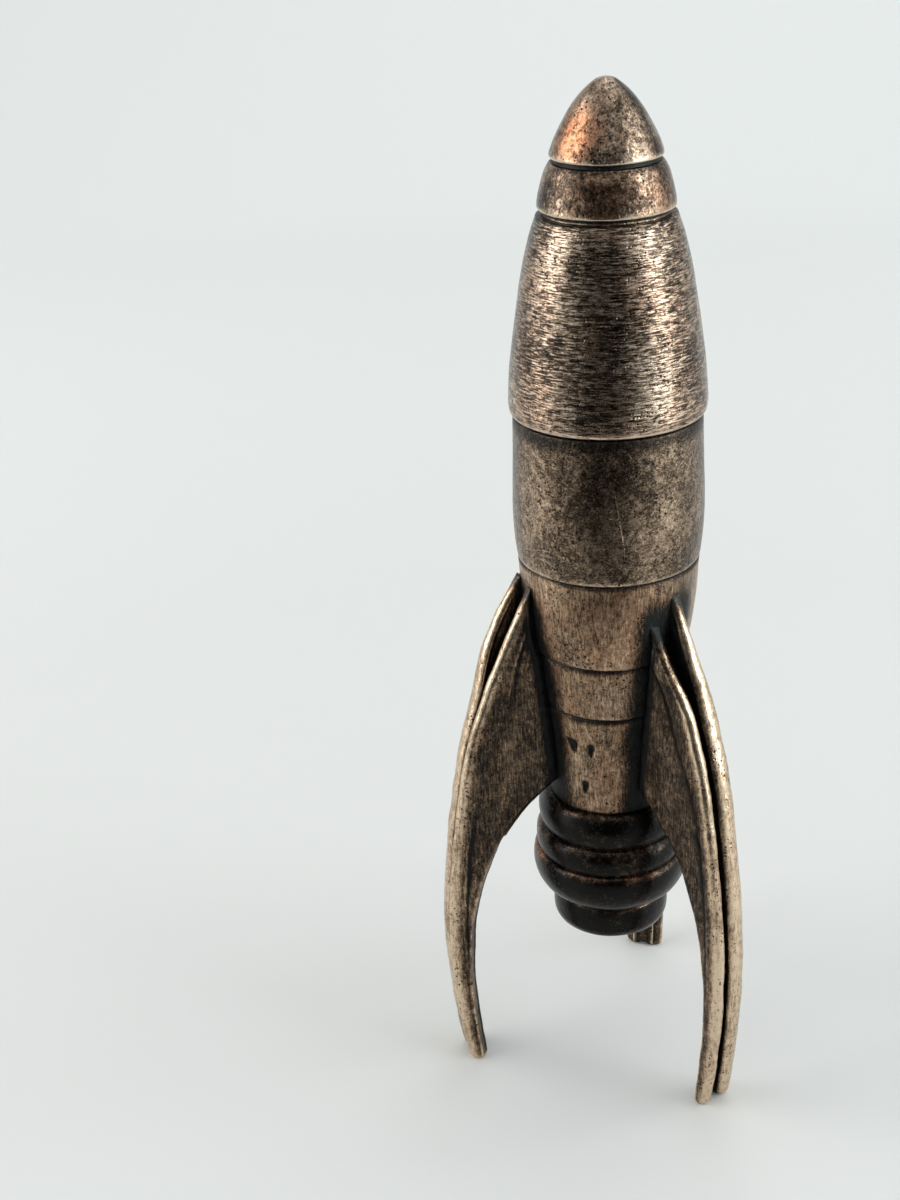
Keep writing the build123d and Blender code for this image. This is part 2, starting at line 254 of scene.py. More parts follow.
    relief = math_node(tree, "MULTIPLY", marks, 0.026 * dash_strength + 0.004)
    for value, depth in ((fine, 0.008 * dash_strength), (mottle, 0.065), (speck, 0.010),
                         (pit, -0.07)):
        relief = math_node(tree, "ADD", relief, math_node(tree, "MULTIPLY", value, depth))
    if scratches > 0.0:
        lines = add_node(tree, "ShaderNodeTexVoronoi",
                         {"Vector": stretched(tree, point, (0.13, 0.13, 0.022)), "Scale": 1.0},
                         feature="DISTANCE_TO_EDGE").outputs["Distance"]
        line = math_node(tree, "MULTIPLY", remap(tree, lines, 0.020, 0.006),
                         remap(tree, patches, 0.45, 0.55))
        relief = math_node(tree, "SUBTRACT", relief, math_node(tree, "MULTIPLY", line, scratches))
    bumped = add_node(tree, "ShaderNodeBump", {"Strength": 1.0, "Distance": bump * MM,
                                               "Height": relief}).outputs[0]
    shader = add_node(tree, "ShaderNodeBsdfPrincipled",
                      {"Base Color": base, "Roughness": gloss, "Normal": bumped,
                       "Metallic": metallic})
    add_node(tree, "ShaderNodeOutputMaterial", {"Surface": shader.outputs[0]})
    return material


def turned_metal(name, shade, roughness):
    """Bare lathe-turned metal with fine rings and a few dull patches."""
    material = bpy.data.materials.new(name)
    material.use_nodes = True
    tree = material.node_tree
    tree.nodes.clear()
    point = add_node(tree, "ShaderNodeTexCoord").outputs["Object"]
    rings = noise(tree, stretched(tree, point, (0.05, 0.05, 9.0)), 2.0)
    smear = noise(tree, stretched(tree, point, (0.3, 0.3, 0.3)), 4.0, 0.65)
    dull = mix_colour(tree, remap(tree, smear, 0.40, 0.68), shade, [0.45 * s for s in shade])
    gloss = remap(tree, smear, 0.3, 0.7, roughness - 0.08, roughness + 0.14)
    relief = math_node(tree, "ADD", rings, math_node(tree, "MULTIPLY", smear, 0.4))
    bumped = add_node(tree, "ShaderNodeBump", {"Strength": 0.5, "Distance": 0.05 * MM,
                                               "Height": relief}).outputs[0]
    shader = add_node(tree, "ShaderNodeBsdfPrincipled",
                      {"Base Color": dull, "Roughness": gloss, "Normal": bumped, "Metallic": 1.0})
    add_node(tree, "ShaderNodeOutputMaterial", {"Surface": shader.outputs[0]})
    return material


ROUND_DASHES = (0.42, 0.42, 3.6)     # marks that run round the hull
UPRIGHT_DASHES = (2.6, 2.6, 0.34)    # marks that run up and down
CROSS_DASHES = (1.1, 1.1, 1.5)       # curled marks with no grain

FINISHES = {
    "nose_bronze": dict(dashes=(1.3, 1.3, 1.1), dash_strength=0.8, level=0.38, pits=0.40,
                        copper=0.18, spot=(-3.6, -7.3, 191.5), pale=0.25, roughness=0.25),
    "upper_bronze": dict(dashes=ROUND_DASHES, dash_strength=1.9, level=0.42, pits=0.50,
                         copper=0.10, pale=0.35, roughness=0.25),
    "middle_bronze": dict(dashes=CROSS_DASHES, dash_strength=1.0, level=0.40, pits=0.6, curl=1.4,
                          scratches=0.04, pale=0.15, roughness=0.29),
    "lower_bronze": dict(dashes=UPRIGHT_DASHES, dash_strength=0.9, level=0.53, pits=0.6,
                         copper=0.12, roughness=0.33),
    "fin_bronze": dict(dashes=UPRIGHT_DASHES, dash_strength=0.8, level=0.31, pits=0.75,
                       roughness=0.33),
    "fin_channel": dict(dashes=UPRIGHT_DASHES, dash_strength=0.4, level=0.30, roughness=0.4),
    "dark_nozzle": dict(dashes=(0.7, 0.7, 0.9), dash_strength=0.35, level=0.02, pits=0.3,
                        copper=0.35, roughness=0.30, contrast=0.9),
}


def finish_material(slot):
    """The material of a slot, made the first time that it is asked for."""
    name = f"{slot}_finish"
    found = bpy.data.materials.get(name)
    if found:
        return found
    if slot == "plain_brass":
        return turned_metal(name, tuple(colours().brass), 0.24)
    if slot == "fastener_steel":
        return turned_metal(name, tuple(colours().steel), 0.28)
    return patina(name, **FINISHES[slot])


def slot_of(node):
    return {row["node"]: row["material_slot"] for row in frame["record"]["subparts"]}[node]


# ---- mesh helpers --------------------------------------------------------
def piece_object(name, mesh, body, nodes, slot, material=None):
    """Puts a finished mesh in the scene as a piece that stands for CAD nodes."""
    piece = bpy.data.objects.new(name, mesh)
    bpy.context.scene.collection.objects.link(piece)
    mesh.materials.clear()
    mesh.materials.append(material or finish_material(slot))
    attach(piece, body)
    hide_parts(*nodes)
    return piece


def coordinates(mesh):
    flat = np.zeros(len(mesh.vertices) * 3)
    mesh.vertices.foreach_get("co", flat)
    return flat.reshape(-1, 3)


def hollows(mesh, passes):
    """How hollow the surface is at each vertex: above 0 in a recess, below 0 on an edge."""
    points = coordinates(mesh)
    normals = np.array([v.normal for v in mesh.vertices])
    pairs = np.zeros(len(mesh.edges) * 2, int)
    mesh.edges.foreach_get("vertices", pairs)
    a, b = pairs.reshape(-1, 2).T
    step = points[b] - points[a]
    gap = np.linalg.norm(step, axis=1) + 1e-12
    total = np.zeros(len(points))
    count = np.zeros(len(points))
    for here, sign in ((a, 1.0), (b, -1.0)):
        np.add.at(total, here, sign * np.einsum("ij,ij->i", normals[here], step) / gap ** 2)
        np.add.at(count, here, 1.0)
    value = total / np.maximum(count, 1.0) * MM
    for _ in range(passes):
        spread = np.zeros(len(points))
        np.add.at(spread, a, value[b])
        np.add.at(spread, b, value[a])
        value = 0.5 * value + 0.5 * spread / np.maximum(count, 1.0)
    return value


def set_wear(mesh, rub, grime_and_shade):
    for name, values in (("rub", rub), ("grime_and_shade", grime_and_shade)):
        attribute = mesh.attributes.new(name, "FLOAT", "POINT")
        attribute.data.foreach_set("value", np.clip(values, 0.0, 1.0).astype(np.float32))


def fin_shadow(points):
    """Painted shade: 1 on the hull beside and between a fin's cheeks, falling to 0 a few millimetres
    away.
    """
    shade = np.zeros(len(points))
    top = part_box("fin_1_left_cheek")[1].z
    for angle in FIN_ANGLES:
        a = math.radians(angle)
        out = points[:, 0] * math.cos(a) + points[:, 1] * math.sin(a)
        across = np.abs(points[:, 1] * math.cos(a) - points[:, 0] * math.sin(a))
        near = 1.0 - ease(across, 3.6 * MM, 8.0 * MM)
        below = np.clip((top + 1.0 * MM - points[:, 2]) / (5.0 * MM), 0.0, 1.0)
        shade = np.maximum(shade, np.where(out > 0, near * below, 0.0))
    return shade


# ---- Geometry Nodes: turned sections ------------------------------------
def new_tree(name, inputs):
    tree = bpy.data.node_groups.new(name, "GeometryNodeTree")
    tree.is_modifier = True
    tree.interface.new_socket("Geometry", in_out="INPUT", socket_type="NodeSocketGeometry")
    for label, kind in inputs:
        tree.interface.new_socket(label, in_out="INPUT", socket_type=kind)
    tree.interface.new_socket("Geometry", in_out="OUTPUT", socket_type="NodeSocketGeometry")
    return tree, add_node(tree, "NodeGroupInput").outputs


def vector_math(tree, operation, a, b=None, scale=None):
    node = add_node(tree, "ShaderNodeVectorMath", {0: a}, operation=operation)
    if b is not None:
        if isinstance(b, bpy.types.NodeSocket):
            tree.links.new(b, node.inputs[1])
        else:
            node.inputs[1].default_value = b
    if scale is not None:
        tree.links.new(scale, node.inputs["Scale"])
    return node.outputs[0]


def finish_tree(tree, geometry, material):
    """Ends a tree in Realize Instances and Set Material."""
    smooth = add_node(tree, "GeometryNodeSetShadeSmooth", {"Geometry": geometry}).outputs[0]
    real = add_node(tree, "GeometryNodeRealizeInstances", {"Geometry": smooth}).outputs[0]
    done = add_node(tree, "GeometryNodeSetMaterial", {"Geometry": real, "Material": material})
    add_node(tree, "NodeGroupOutput", {0: done.outputs[0]})


def noise_push(tree, geometry, depth, size, seed):
    """Moves a surface along its normals by a noise of this depth and size."""
    place = add_node(tree, "GeometryNodeInputPosition").outputs[0]
    normal = add_node(tree, "GeometryNodeInputNormal").outputs[0]
    pattern = add_node(tree, "ShaderNodeTexNoise",
                       {"Vector": place, "W": seed, "Detail": 2.0, "Roughness": 0.5,
                        "Scale": math_node(tree, "DIVIDE", 1.0, size)},
                       noise_dimensions="4D").outputs["Fac"]
    swing = math_node(tree, "MULTIPLY", math_node(tree, "SUBTRACT", pattern, 0.5), 2.0)
    push = vector_math(tree, "SCALE", normal, scale=math_node(tree, "MULTIPLY", swing, depth))
    return add_node(tree, "GeometryNodeSetPosition", {"Geometry": geometry, "Offset": push}).outputs[0]


def turned_tree():
    """A tree that spins a profile, a chain of points at (radius, 0, height), into a closed solid."""
    name = "turned_section"
    if name in bpy.data.node_groups:
        return bpy.data.node_groups[name]
    tree, given = new_tree(name, (("Segments", "NodeSocketInt"), ("Dent Depth", "NodeSocketFloat"),
                                  ("Dent Size", "NodeSocketFloat"), ("Tool Depth", "NodeSocketFloat"),
                                  ("Tool Size", "NodeSocketFloat"), ("Seed", "NodeSocketFloat"),
                                  ("Material", "NodeSocketMaterial")))
    count = add_node(tree, "GeometryNodeAttributeDomainSize",
                     {"Geometry": given["Geometry"]}).outputs["Point Count"]
    columns = math_node(tree, "ADD", given["Segments"], 1.0)
    grid = add_node(tree, "GeometryNodeMeshGrid", {"Size X": 1.0, "Size Y": 1.0,
                                                   "Vertices X": columns, "Vertices Y": count})
    place = add_node(tree, "ShaderNodeSeparateXYZ",
                     {0: add_node(tree, "GeometryNodeInputPosition").outputs[0]}).outputs
    turn = math_node(tree, "MULTIPLY", math_node(tree, "ADD", place[0], 0.5), 2.0 * math.pi)
    row = math_node(tree, "MULTIPLY", math_node(tree, "ADD", place[1], 0.5),
                    math_node(tree, "SUBTRACT", count, 1.0))
    sampled = add_node(tree, "GeometryNodeSampleIndex",
                       {"Geometry": given["Geometry"], "Index": math_node(tree, "ROUND", row)},
                       data_type="FLOAT_VECTOR")
    tree.links.new(add_node(tree, "GeometryNodeInputPosition").outputs[0], sampled.inputs["Value"])
    profile = add_node(tree, "ShaderNodeSeparateXYZ", {0: sampled.outputs[0]}).outputs
    spun = add_node(tree, "ShaderNodeCombineXYZ",
                    {0: math_node(tree, "MULTIPLY", profile[0], math_node(tree, "COSINE", turn)),
                     1: math_node(tree, "MULTIPLY", profile[0], math_node(tree, "SINE", turn)),
                     2: profile[2]}).outputs[0]
    shape = add_node(tree, "GeometryNodeSetPosition",
                     {"Geometry": grid.outputs["Mesh"], "Position": spun}).outputs[0]
    shape = add_node(tree, "GeometryNodeMergeByDistance",
                     {"Geometry": shape, "Distance": 0.004 * MM}).outputs[0]
    shape = noise_push(tree, shape, given["Dent Depth"], given["Dent Size"], given["Seed"])
    shape = noise_push(tree, shape, given["Tool Depth"], given["Tool Size"], given["Seed"])
    finish_tree(tree, shape, given["Material"])
    return tree


def run_tree(tree, mesh, inputs):
    """Runs a tree on a mesh and returns the result as a plain mesh, without the modifier."""
    carrier = bpy.data.objects.new("carrier", mesh)
    bpy.context.scene.collection.objects.link(carrier)
    modifier = carrier.modifiers.new("build", "NODES")
    modifier.node_group = tree
    sockets = {item.name: item.identifier for item in tree.interface.items_tree
               if item.in_out == "INPUT"}
    for name, value in inputs.items():
        modifier[sockets[name]] = value
    graph = bpy.context.evaluated_depsgraph_get()
    result = bpy.data.meshes.new_from_object(carrier.evaluated_get(graph))
    carrier.modifiers.remove(modifier)
    bpy.data.objects.remove(carrier)
    return result


def outward(mesh):
    """Turns all faces of a closed mesh outwards."""
    work = bmesh.new()
    work.from_mesh(mesh)
    bmesh.ops.remove_doubles(work, verts=work.verts, dist=0.002 * MM)
    bmesh.ops.dissolve_degenerate(work, edges=work.edges, dist=0.001 * MM)
    bmesh.ops.recalc_face_normals(work, faces=work.faces)
    work.to_mesh(mesh)
    work.free()
    for polygon in mesh.polygons:
        polygon.use_smooth = True


# ---- profiles of the turned sections ------------------------------------
def smooth_line(points, step):
    """A Catmull-Rom curve through the points, sampled about every step."""
    p = np.array(points, float)
    p = np.vstack([2 * p[0] - p[1], p, 2 * p[-1] - p[-2]])
    made = []
    for before, start, end, after in zip(p, p[1:], p[2:], p[3:]):
        pieces = max(2, int(np.linalg.norm(end - start) / step))
        t = np.linspace(0.0, 1.0, pieces, endpoint=False)[:, None]
        made.append(0.5 * (2 * start + (end - before) * t
                           + (2 * before - 5 * start + 4 * end - after) * t ** 2
                           + (3 * start - before - 3 * end + after) * t ** 3))
    return np.vstack(made + [p[-2:-1]])


def round_corners(points, radius, closed=True):
    """Replaces each sharp corner of a polygon by a small arc of points."""
    made = []
    count = len(points)
    for i, corner in enumerate(points):
        before, after = points[i - 1], points[(i + 1) % count]
        if not closed and i in (0, count - 1):
            made.append(corner)
            continue
        a, b = before - corner, after - corner
        la, lb = np.linalg.norm(a), np.linalg.norm(b)
        bend = math.acos(np.clip(np.dot(a, b) / (la * lb), -1.0, 1.0))
        if bend > math.radians(150.0):
            made.append(corner)
            continue
        cut = min(radius, 0.45 * la, 0.45 * lb)
        for t in np.linspace(0.0, 1.0, 5):
            made.append((1 - t) ** 2 * (corner + a / la * cut) + 2 * t * (1 - t) * corner
                        + t ** 2 * (corner + b / lb * cut))
    return np.array(made)


def fill_in(points, step):
    """Adds points along long straight runs, so that dents can bend them."""
    made = [points[0]]
    for start, end in zip(points, points[1:]):
        pieces = max(1, int(round(np.linalg.norm(end - start) / step)))
        made += [start + (end - start) * k / pieces for k in range(1, pieces + 1)]
    return np.array(made)


# Each section by its CAD node: the curve of its side from the top down, and the points that close
# it, as (radius, height) in millimetres. The node's own box scales them.
SECTIONS = {
    "nose_cone": dict(
        side=((0.0, 200.0), (1.2, 199.8), (2.3, 199.2), (4.3, 197.4), (6.15, 195.1), (7.65, 192.6),
              (8.95, 190.1), (9.6, 188.5), (9.9, 187.6), (9.95, 187.1)),
        close=((9.7, 186.7), (0.0, 186.7))),
    "neck_ring": dict(
        side=((10.0, 185.8), (10.35, 185.2), (10.9, 184.0), (11.7, 181.0), (12.05, 179.2),
              (12.1, 178.4)),
        close=((11.85, 178.0), (11.3, 178.0), (11.3, 177.1), (0.0, 177.1), (0.0, 186.7),
               (9.1, 186.7), (9.1, 186.0), (9.8, 186.0))),
    "upper_hull": dict(
        side=((12.45, 176.9), (12.75, 176.1), (13.8, 173.0), (15.0, 168.0), (15.9, 163.0),
              (16.75, 157.5), (17.7, 150.5), (18.2, 144.0), (18.18, 142.5), (18.05, 141.6)),
        close=((17.75, 141.2), (15.25, 141.2), (15.25, 153.55), (13.2, 153.55), (12.7, 161.0),
               (9.6, 171.0), (1.8, 171.0), (1.8, 177.1), (12.1, 177.1))),
    "middle_hull": dict(
        side=((17.45, 140.55), (17.5, 139.5), (17.65, 134.0), (17.95, 124.0), (17.85, 118.5),
              (17.5, 114.5), (17.3, 113.0)),
        close=((16.95, 112.5), (14.2, 112.5), (14.2, 109.5), (12.2, 109.5), (12.2, 117.0),
               (14.7, 121.0), (14.7, 140.8), (17.2, 140.8))),
    "lower_hull": dict(
        side=((17.15, 112.0), (17.0, 110.0), (16.75, 105.5), (16.05, 99.5), (15.45, 96.1),
              (15.15, 94.8)),
        close=((14.85, 94.3), (12.0, 94.3), (12.0, 91.3), (10.2, 91.3), (10.2, 97.5), (12.4, 101.0),
               (12.4, 109.5), (14.2, 109.5), (14.2, 112.5), (16.8, 112.5))),
    "waist_sleeve": dict(
        side=((14.75, 93.8), (14.2, 89.2), (13.55, 83.2)),
        close=((13.2, 82.7), (10.5, 82.7), (10.5, 79.7), (9.0, 79.7), (9.0, 87.5), (10.2, 91.3),
               (12.0, 91.3), (12.0, 94.3), (14.4, 94.3))),
    "tail_sleeve": dict(
        side=((13.35, 82.2), (13.15, 80.2), (12.55, 74.5), (12.1, 66.5), (12.0, 60.9)),
        close=((8.0, 60.9), (8.0, 77.7), (9.0, 79.7), (10.5, 79.7), (10.5, 82.7), (13.0, 82.7))),
    "nozzle_collar": dict(
        side=((12.4, 60.9), (13.0, 60.6), (13.6, 59.8), (14.35, 57.6), (14.3, 55.2), (13.6, 53.2)),
        close=((8.0, 53.2), (8.0, 60.9))),
    "nozzle_band": dict(
        side=((13.8, 53.2), (14.5, 52.5), (14.95, 51.5), (15.1, 50.1), (15.0, 48.8), (14.6, 47.6)),
        close=((8.0, 47.6), (8.0, 53.2))),
    "nozzle_bell": dict(
        side=((14.8, 47.6), (15.4, 46.9), (15.65, 45.4), (15.6, 43.6), (15.15, 41.7),
              (14.4, 40.2), (13.3, 39.1), (11.9, 38.1), (11.3, 37.4)),
        close=((8.0, 37.4), (8.0, 47.6))),
    "exit_ring": dict(
        side=((11.3, 37.4), (11.6, 36.0), (11.75, 34.3), (11.6, 32.2), (11.1, 31.0)),
        close=((10.5, 30.6), (9.0, 30.6), (7.4, 35.8), (2.1, 35.8), (2.1, 37.4))),
    "spigot_plug": dict(
        side=((15.2, 152.7), (15.2, 140.8)),
        close=((14.7, 140.8), (14.7, 131.0), (2.1, 131.0), (2.1, 147.0), (5.2, 147.0),
               (5.2, 153.5), (14.4, 153.5))),
}
CORNER = 0.22 * MM
PROFILE_STEP = 0.42 * MM


def fitted(node, points):
    """Points of a section in metres, scaled to fill its CAD node's box."""
    low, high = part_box(node)
    shape = np.array(SECTIONS[node]["side"] + SECTIONS[node]["close"])
    bottom, top = shape[:, 1].min(), shape[:, 1].max()
    points = np.array(points, float)
    radius = points[:, 0] / shape[:, 0].max() * high.x
    height = low.z + (points[:, 1] - bottom) / (top - bottom) * (high.z - low.z)
    return np.stack([radius, height], axis=1)


def section_profile(node):
    """Closed chain of points (radius, height) of a turned section, in metres."""
    shape = SECTIONS[node]
    side = smooth_line(fitted(node, shape["side"]), PROFILE_STEP)
    closing = np.vstack([side[-1:], fitted(node, shape["close"]), side[:1]])
    closing = fill_in(round_corners(closing, CORNER, closed=False), 1.4 * MM)
    return np.vstack([side, closing[1:]])


def profile_mesh(points):
    mesh = bpy.data.meshes.new("profile")
    vertices = [(radius, 0.0, height) for radius, height in points]
    mesh.from_pydata(vertices, [(i, i + 1) for i in range(len(vertices) - 1)], [])
    return mesh


def under_lip_shade_and_dust(points, node, depth):
    """Darkens a band just under the edge of the section above: painted shade under its lip, with dust
    in the seam.
    """
    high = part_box(node)[1].z
    return np.clip(1.0 - (high - points[:, 2]) / depth, 0.0, 1.0)


# Punch marks on the tail: angle in degrees, height, half width, half height, depth in millimetres.
PUNCH_MARKS = ((251.3, 75.5, 0.75, 1.35, 0.75), (249.3, 76.7, 1.1, 0.45, 0.45),
               (268.6, 75.5, 0.55, 1.25, 0.75), (261.9, 66.8, 0.60, 1.2, 0.7))


def punch(mesh, marks):
    """Dents the outside of a section at each mark and returns how deep each vertex lies in one."""
    points = coordinates(mesh)
    radius = np.hypot(points[:, 0], points[:, 1])
    turn = np.degrees(np.arctan2(points[:, 1], points[:, 0])) % 360.0
    depth = np.zeros(len(points))
    outer = radius > 10.5 * MM
    for angle, height, wide, tall, deep in marks:
        across = np.radians(turn - angle) * radius / (wide * MM)
        along = (points[:, 2] - height * MM) / (tall * MM)
        across *= 1.0 + 0.45 * np.clip(-along, -0.8, 0.8)
        bowl = np.clip(1.25 - np.hypot(across, along), 0.0, 1.0)
        depth = np.maximum(depth, np.where(outer, bowl * deep * MM, 0.0))
    points[:, :2] *= (1.0 - depth / np.maximum(radius, 1e-6))[:, None]
    mesh.vertices.foreach_set("co", points.ravel())
    mesh.update()
    return depth


def turned_piece(node, body, seed, dents=1.0, tooling=1.0, lip_shade_and_dust=0.0, lip_shade_and_dust_depth=1.5 * MM,
                 edge_rub=1.0, marks=()):
    """Builds one turned section in place of its CAD node."""
    s = sizes()
    slot = slot_of(node)
    mesh = run_tree(turned_tree(), profile_mesh(section_profile(node)),
                    {"Segments": s.segments, "Dent Depth": dents * s.dent_depth,
                     "Dent Size": s.dent_size, "Tool Depth": tooling * s.tool_depth,
                     "Tool Size": s.tool_size, "Seed": float(seed),
                     "Material": finish_material(slot)})
    outward(mesh)
    sunk = punch(mesh, marks)
    points = coordinates(mesh)
    hollow = hollows(mesh, 3)
    rub = np.clip(-hollow * 3.2 - 0.12, 0.0, 1.0) * edge_rub
    grime_and_shade = np.maximum(np.clip(hollow * 5.0, 0.0, 1.0), np.clip(sunk / (0.3 * MM), 0.0, 1.0))
    # Painted shade under the section above, with dust in the seam.
    grime_and_shade = np.maximum(grime_and_shade, lip_shade_and_dust * under_lip_shade_and_dust(points, node, lip_shade_and_dust_depth))
    # The lower hull's sections also get the painted shade beside the fins.
    if slot == "lower_bronze":
        grime_and_shade = np.maximum(grime_and_shade, fin_shadow(points))
    set_wear(mesh, rub * (1.0 - grime_and_shade), grime_and_shade)
    return piece_object(f"{node}_shell", mesh, body, [node], slot)


# ---- fins ----------------------------------------------------------------
# Edges of a fin as (radius, height) in millimetres, from the top down.
OUTER_EDGE = ((16.8, 108.8), (18.9, 104.4), (22.4, 96.6), (26.6, 86.2), (30.4, 74.0),
              (33.2, 58.0), (34.7, 45.0), (35.4, 33.0), (34.9, 20.0), (33.6, 8.0), (32.2, 0.0))
WEB_EDGE = ((15.4, 98.5), (19.6, 91.0), (25.0, 79.5), (29.4, 65.0), (32.0, 50.0), (33.4, 33.0),
            (33.1, 20.0), (32.0, 8.0), (30.6, 0.0))
INNER_EDGE = ((9.9, 66.9), (16.0, 62.2), (22.9, 53.9), (28.5, 39.4), (30.2, 24.5), (29.7, 12.5),
              (28.4, 0.0))
WEB_HALF = 1.0 * MM
FIN_HALF = 3.9 * MM
FIN_TIP = 66.4 * MM     # height where the inner edge meets the hull
FIN_ROWS = 260
ROOT_Z = 53.0 * MM      # above this height a fin starts at the hull, not at its inner edge
SPLAY = (85.0 * MM, 107.0 * MM)     # heights between which the cheeks' tops part


def edge_radius(edge, heights):
    """Radius of an edge at each height, in metres."""
    line = smooth_line(np.array(edge) * MM, 0.5 * MM)
    order = np.argsort(line[:, 1])
    return np.interp(heights, line[order, 1], line[order, 0])


def hull_radius(heights):
    """Outer radius of the hull at each height, read from the sections' own profiles."""
    nodes = ("lower_hull", "waist_sleeve", "tail_sleeve")
    line = np.vstack([fitted(node, SECTIONS[node]["side"]) for node in nodes])
    order = np.argsort(line[:, 1])
    return np.interp(heights, line[order, 1], line[order, 0])


def ease(value, low, high):
    t = np.clip((value - low) / (high - low), 0.0, 1.0)
    return t * t * (3.0 - 2.0 * t)


# How each cheek differs by hand, in millimetres: lip is how far its rim rolls over the channel,
# lean how far its top leans towards the other cheek, bulge how far its top swells outwards and
# drop how far its top edge falls back.
CHEEK_SHAPES = {
    (2, -1): dict(lip=1.3, bulge=1.8),
    (2, 1): dict(lip=-0.5),
    (3, 1): dict(lip=1.3, lean=1.7),
    (3, -1): dict(lip=-0.5, drop=3.2),
}


def cheek_section(z, inner, outer, lip=0.4, lean=0.0):
    """Closed loop (radius, tangential offset) of one cheek at height z, from root to rim and back."""
    s = sizes()
    wide = outer - inner
    top = ease(z, *SPLAY)
    lean_here = lean * MM * top
    lip = lip * MM * (1.0 - top) * ease(wide, 3.0 * MM, 5.0 * MM)
    face = FIN_HALF + 0.3 * MM * top - lean_here
    back = WEB_HALF + 0.9 * MM * top - lean_here
    edge = back - lip
    rim = min(s.rim_radius, 0.48 * wide, 0.5 * (face - edge))
    band = (1.5 + 2.4 * math.exp(-((z / MM - 84.0) / 11.0) ** 2)) * MM
    step = s.face_step * ease(wide, 3.5 * MM, 9.0 * MM)
    loop = []
    for share in np.linspace(0.0, 1.0, 26):
        r = inner + share * (wide - rim)
        from_rim = outer - rim - r
        sunk = step * ease(from_rim, band, band + 0.9 * MM)
        root = 0.9 * MM * (1.0 - ease(r - inner, 0.0, 1.6 * MM))
        crown = 0.16 * MM * math.sin(math.pi * share)
        loop.append((r, face - sunk - root + crown))
    middle, half = (face + edge) / 2, (face - edge) / 2
    for turn in np.linspace(80.0, -80.0, 15):
        a = math.radians(turn)
        loop.append((outer - rim + rim * math.cos(a), middle + half * math.sin(a)))
    for step_in in np.linspace(0.0, 1.0, 15):
        r = inner + (1.0 - step_in ** 2) * (wide - rim)
        loop.append((r, edge + lip * ease(outer - r, 1.2 * MM, 1.9 * MM)))
    return np.array(loop)


def loft(rows, name):
    """Closed mesh through equal loops of 3-D points, with both ends capped."""
    count = len(rows[0])
    vertices = [tuple(p) for row in rows for p in row]
    faces = []
    for i in range(len(rows) - 1):
        for j in range(count):
            k = (j + 1) % count
            faces.append((i * count + j, i * count + k, (i + 1) * count + k, (i + 1) * count + j))
    for start, flip in ((0, False), ((len(rows) - 1) * count, True)):
        middle = len(vertices)
        vertices.append(tuple(np.mean(rows[0] if not flip else rows[-1], axis=0)))
        for j in range(count):
            k = (j + 1) % count
            faces.append((start + j, start + k, middle))
    mesh = bpy.data.meshes.new(name)
    mesh.from_pydata(vertices, [], faces)
    return mesh


def foot_inset(z):
    """How far a section draws in near the ground, which rounds the foot."""
    r = sizes().foot_radius
    if z >= r:
        return 0.0
    return r - math.sqrt(max(0.0, r * r - (r - z) ** 2))


def place_on_fin(angle, side, radius, offset, z):
    a = math.radians(angle)
    return (radius * math.cos(a) - side * offset * math.sin(a),
            radius * math.sin(a) + side * offset * math.cos(a), z)


def wander(points, size, seed):
    """Smooth noise between -1 and 1 at each point, the same on every run."""
    shift = Vector((seed * 3.1, seed * 1.7, seed * 5.3))
    return np.array([turbulence.noise(Vector(p) / size + shift) for p in points])


def hand_finish(mesh, seed, depth, size):
    """Pushes a surface along its normals, as casting and filing leave it."""
    points = coordinates(mesh)
    normals = np.array([v.normal for v in mesh.vertices])
    push = depth * wander(points, size, seed) + 0.35 * depth * wander(points, size / 4, seed + 9)
    above = np.clip(points[:, 2] / (2.0 * MM), 0.0, 1.0)
    points += normals * (push * above)[:, None]
    points[:, 2] = np.maximum(points[:, 2], 0.0)
    mesh.vertices.foreach_set("co", points.ravel())
    mesh.update()


def fin_reach(edge, heights):
    """Outer edge, inner edge and hull radius of a fin plate at each height, in metres."""
    inner = np.where(heights > FIN_TIP, 0.0, edge_radius(INNER_EDGE, heights))
    return edge_radius(edge, heights), inner, hull_radius(heights)


def fin_heights():
    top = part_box("fin_1_left_cheek")[1].z
    low = sizes().foot_radius
    foot = low * (1.0 - np.cos(np.linspace(0.0, math.pi / 2, 9)))
    return np.concatenate([foot[:-1], np.linspace(low, top - 0.15 * MM, FIN_ROWS)])


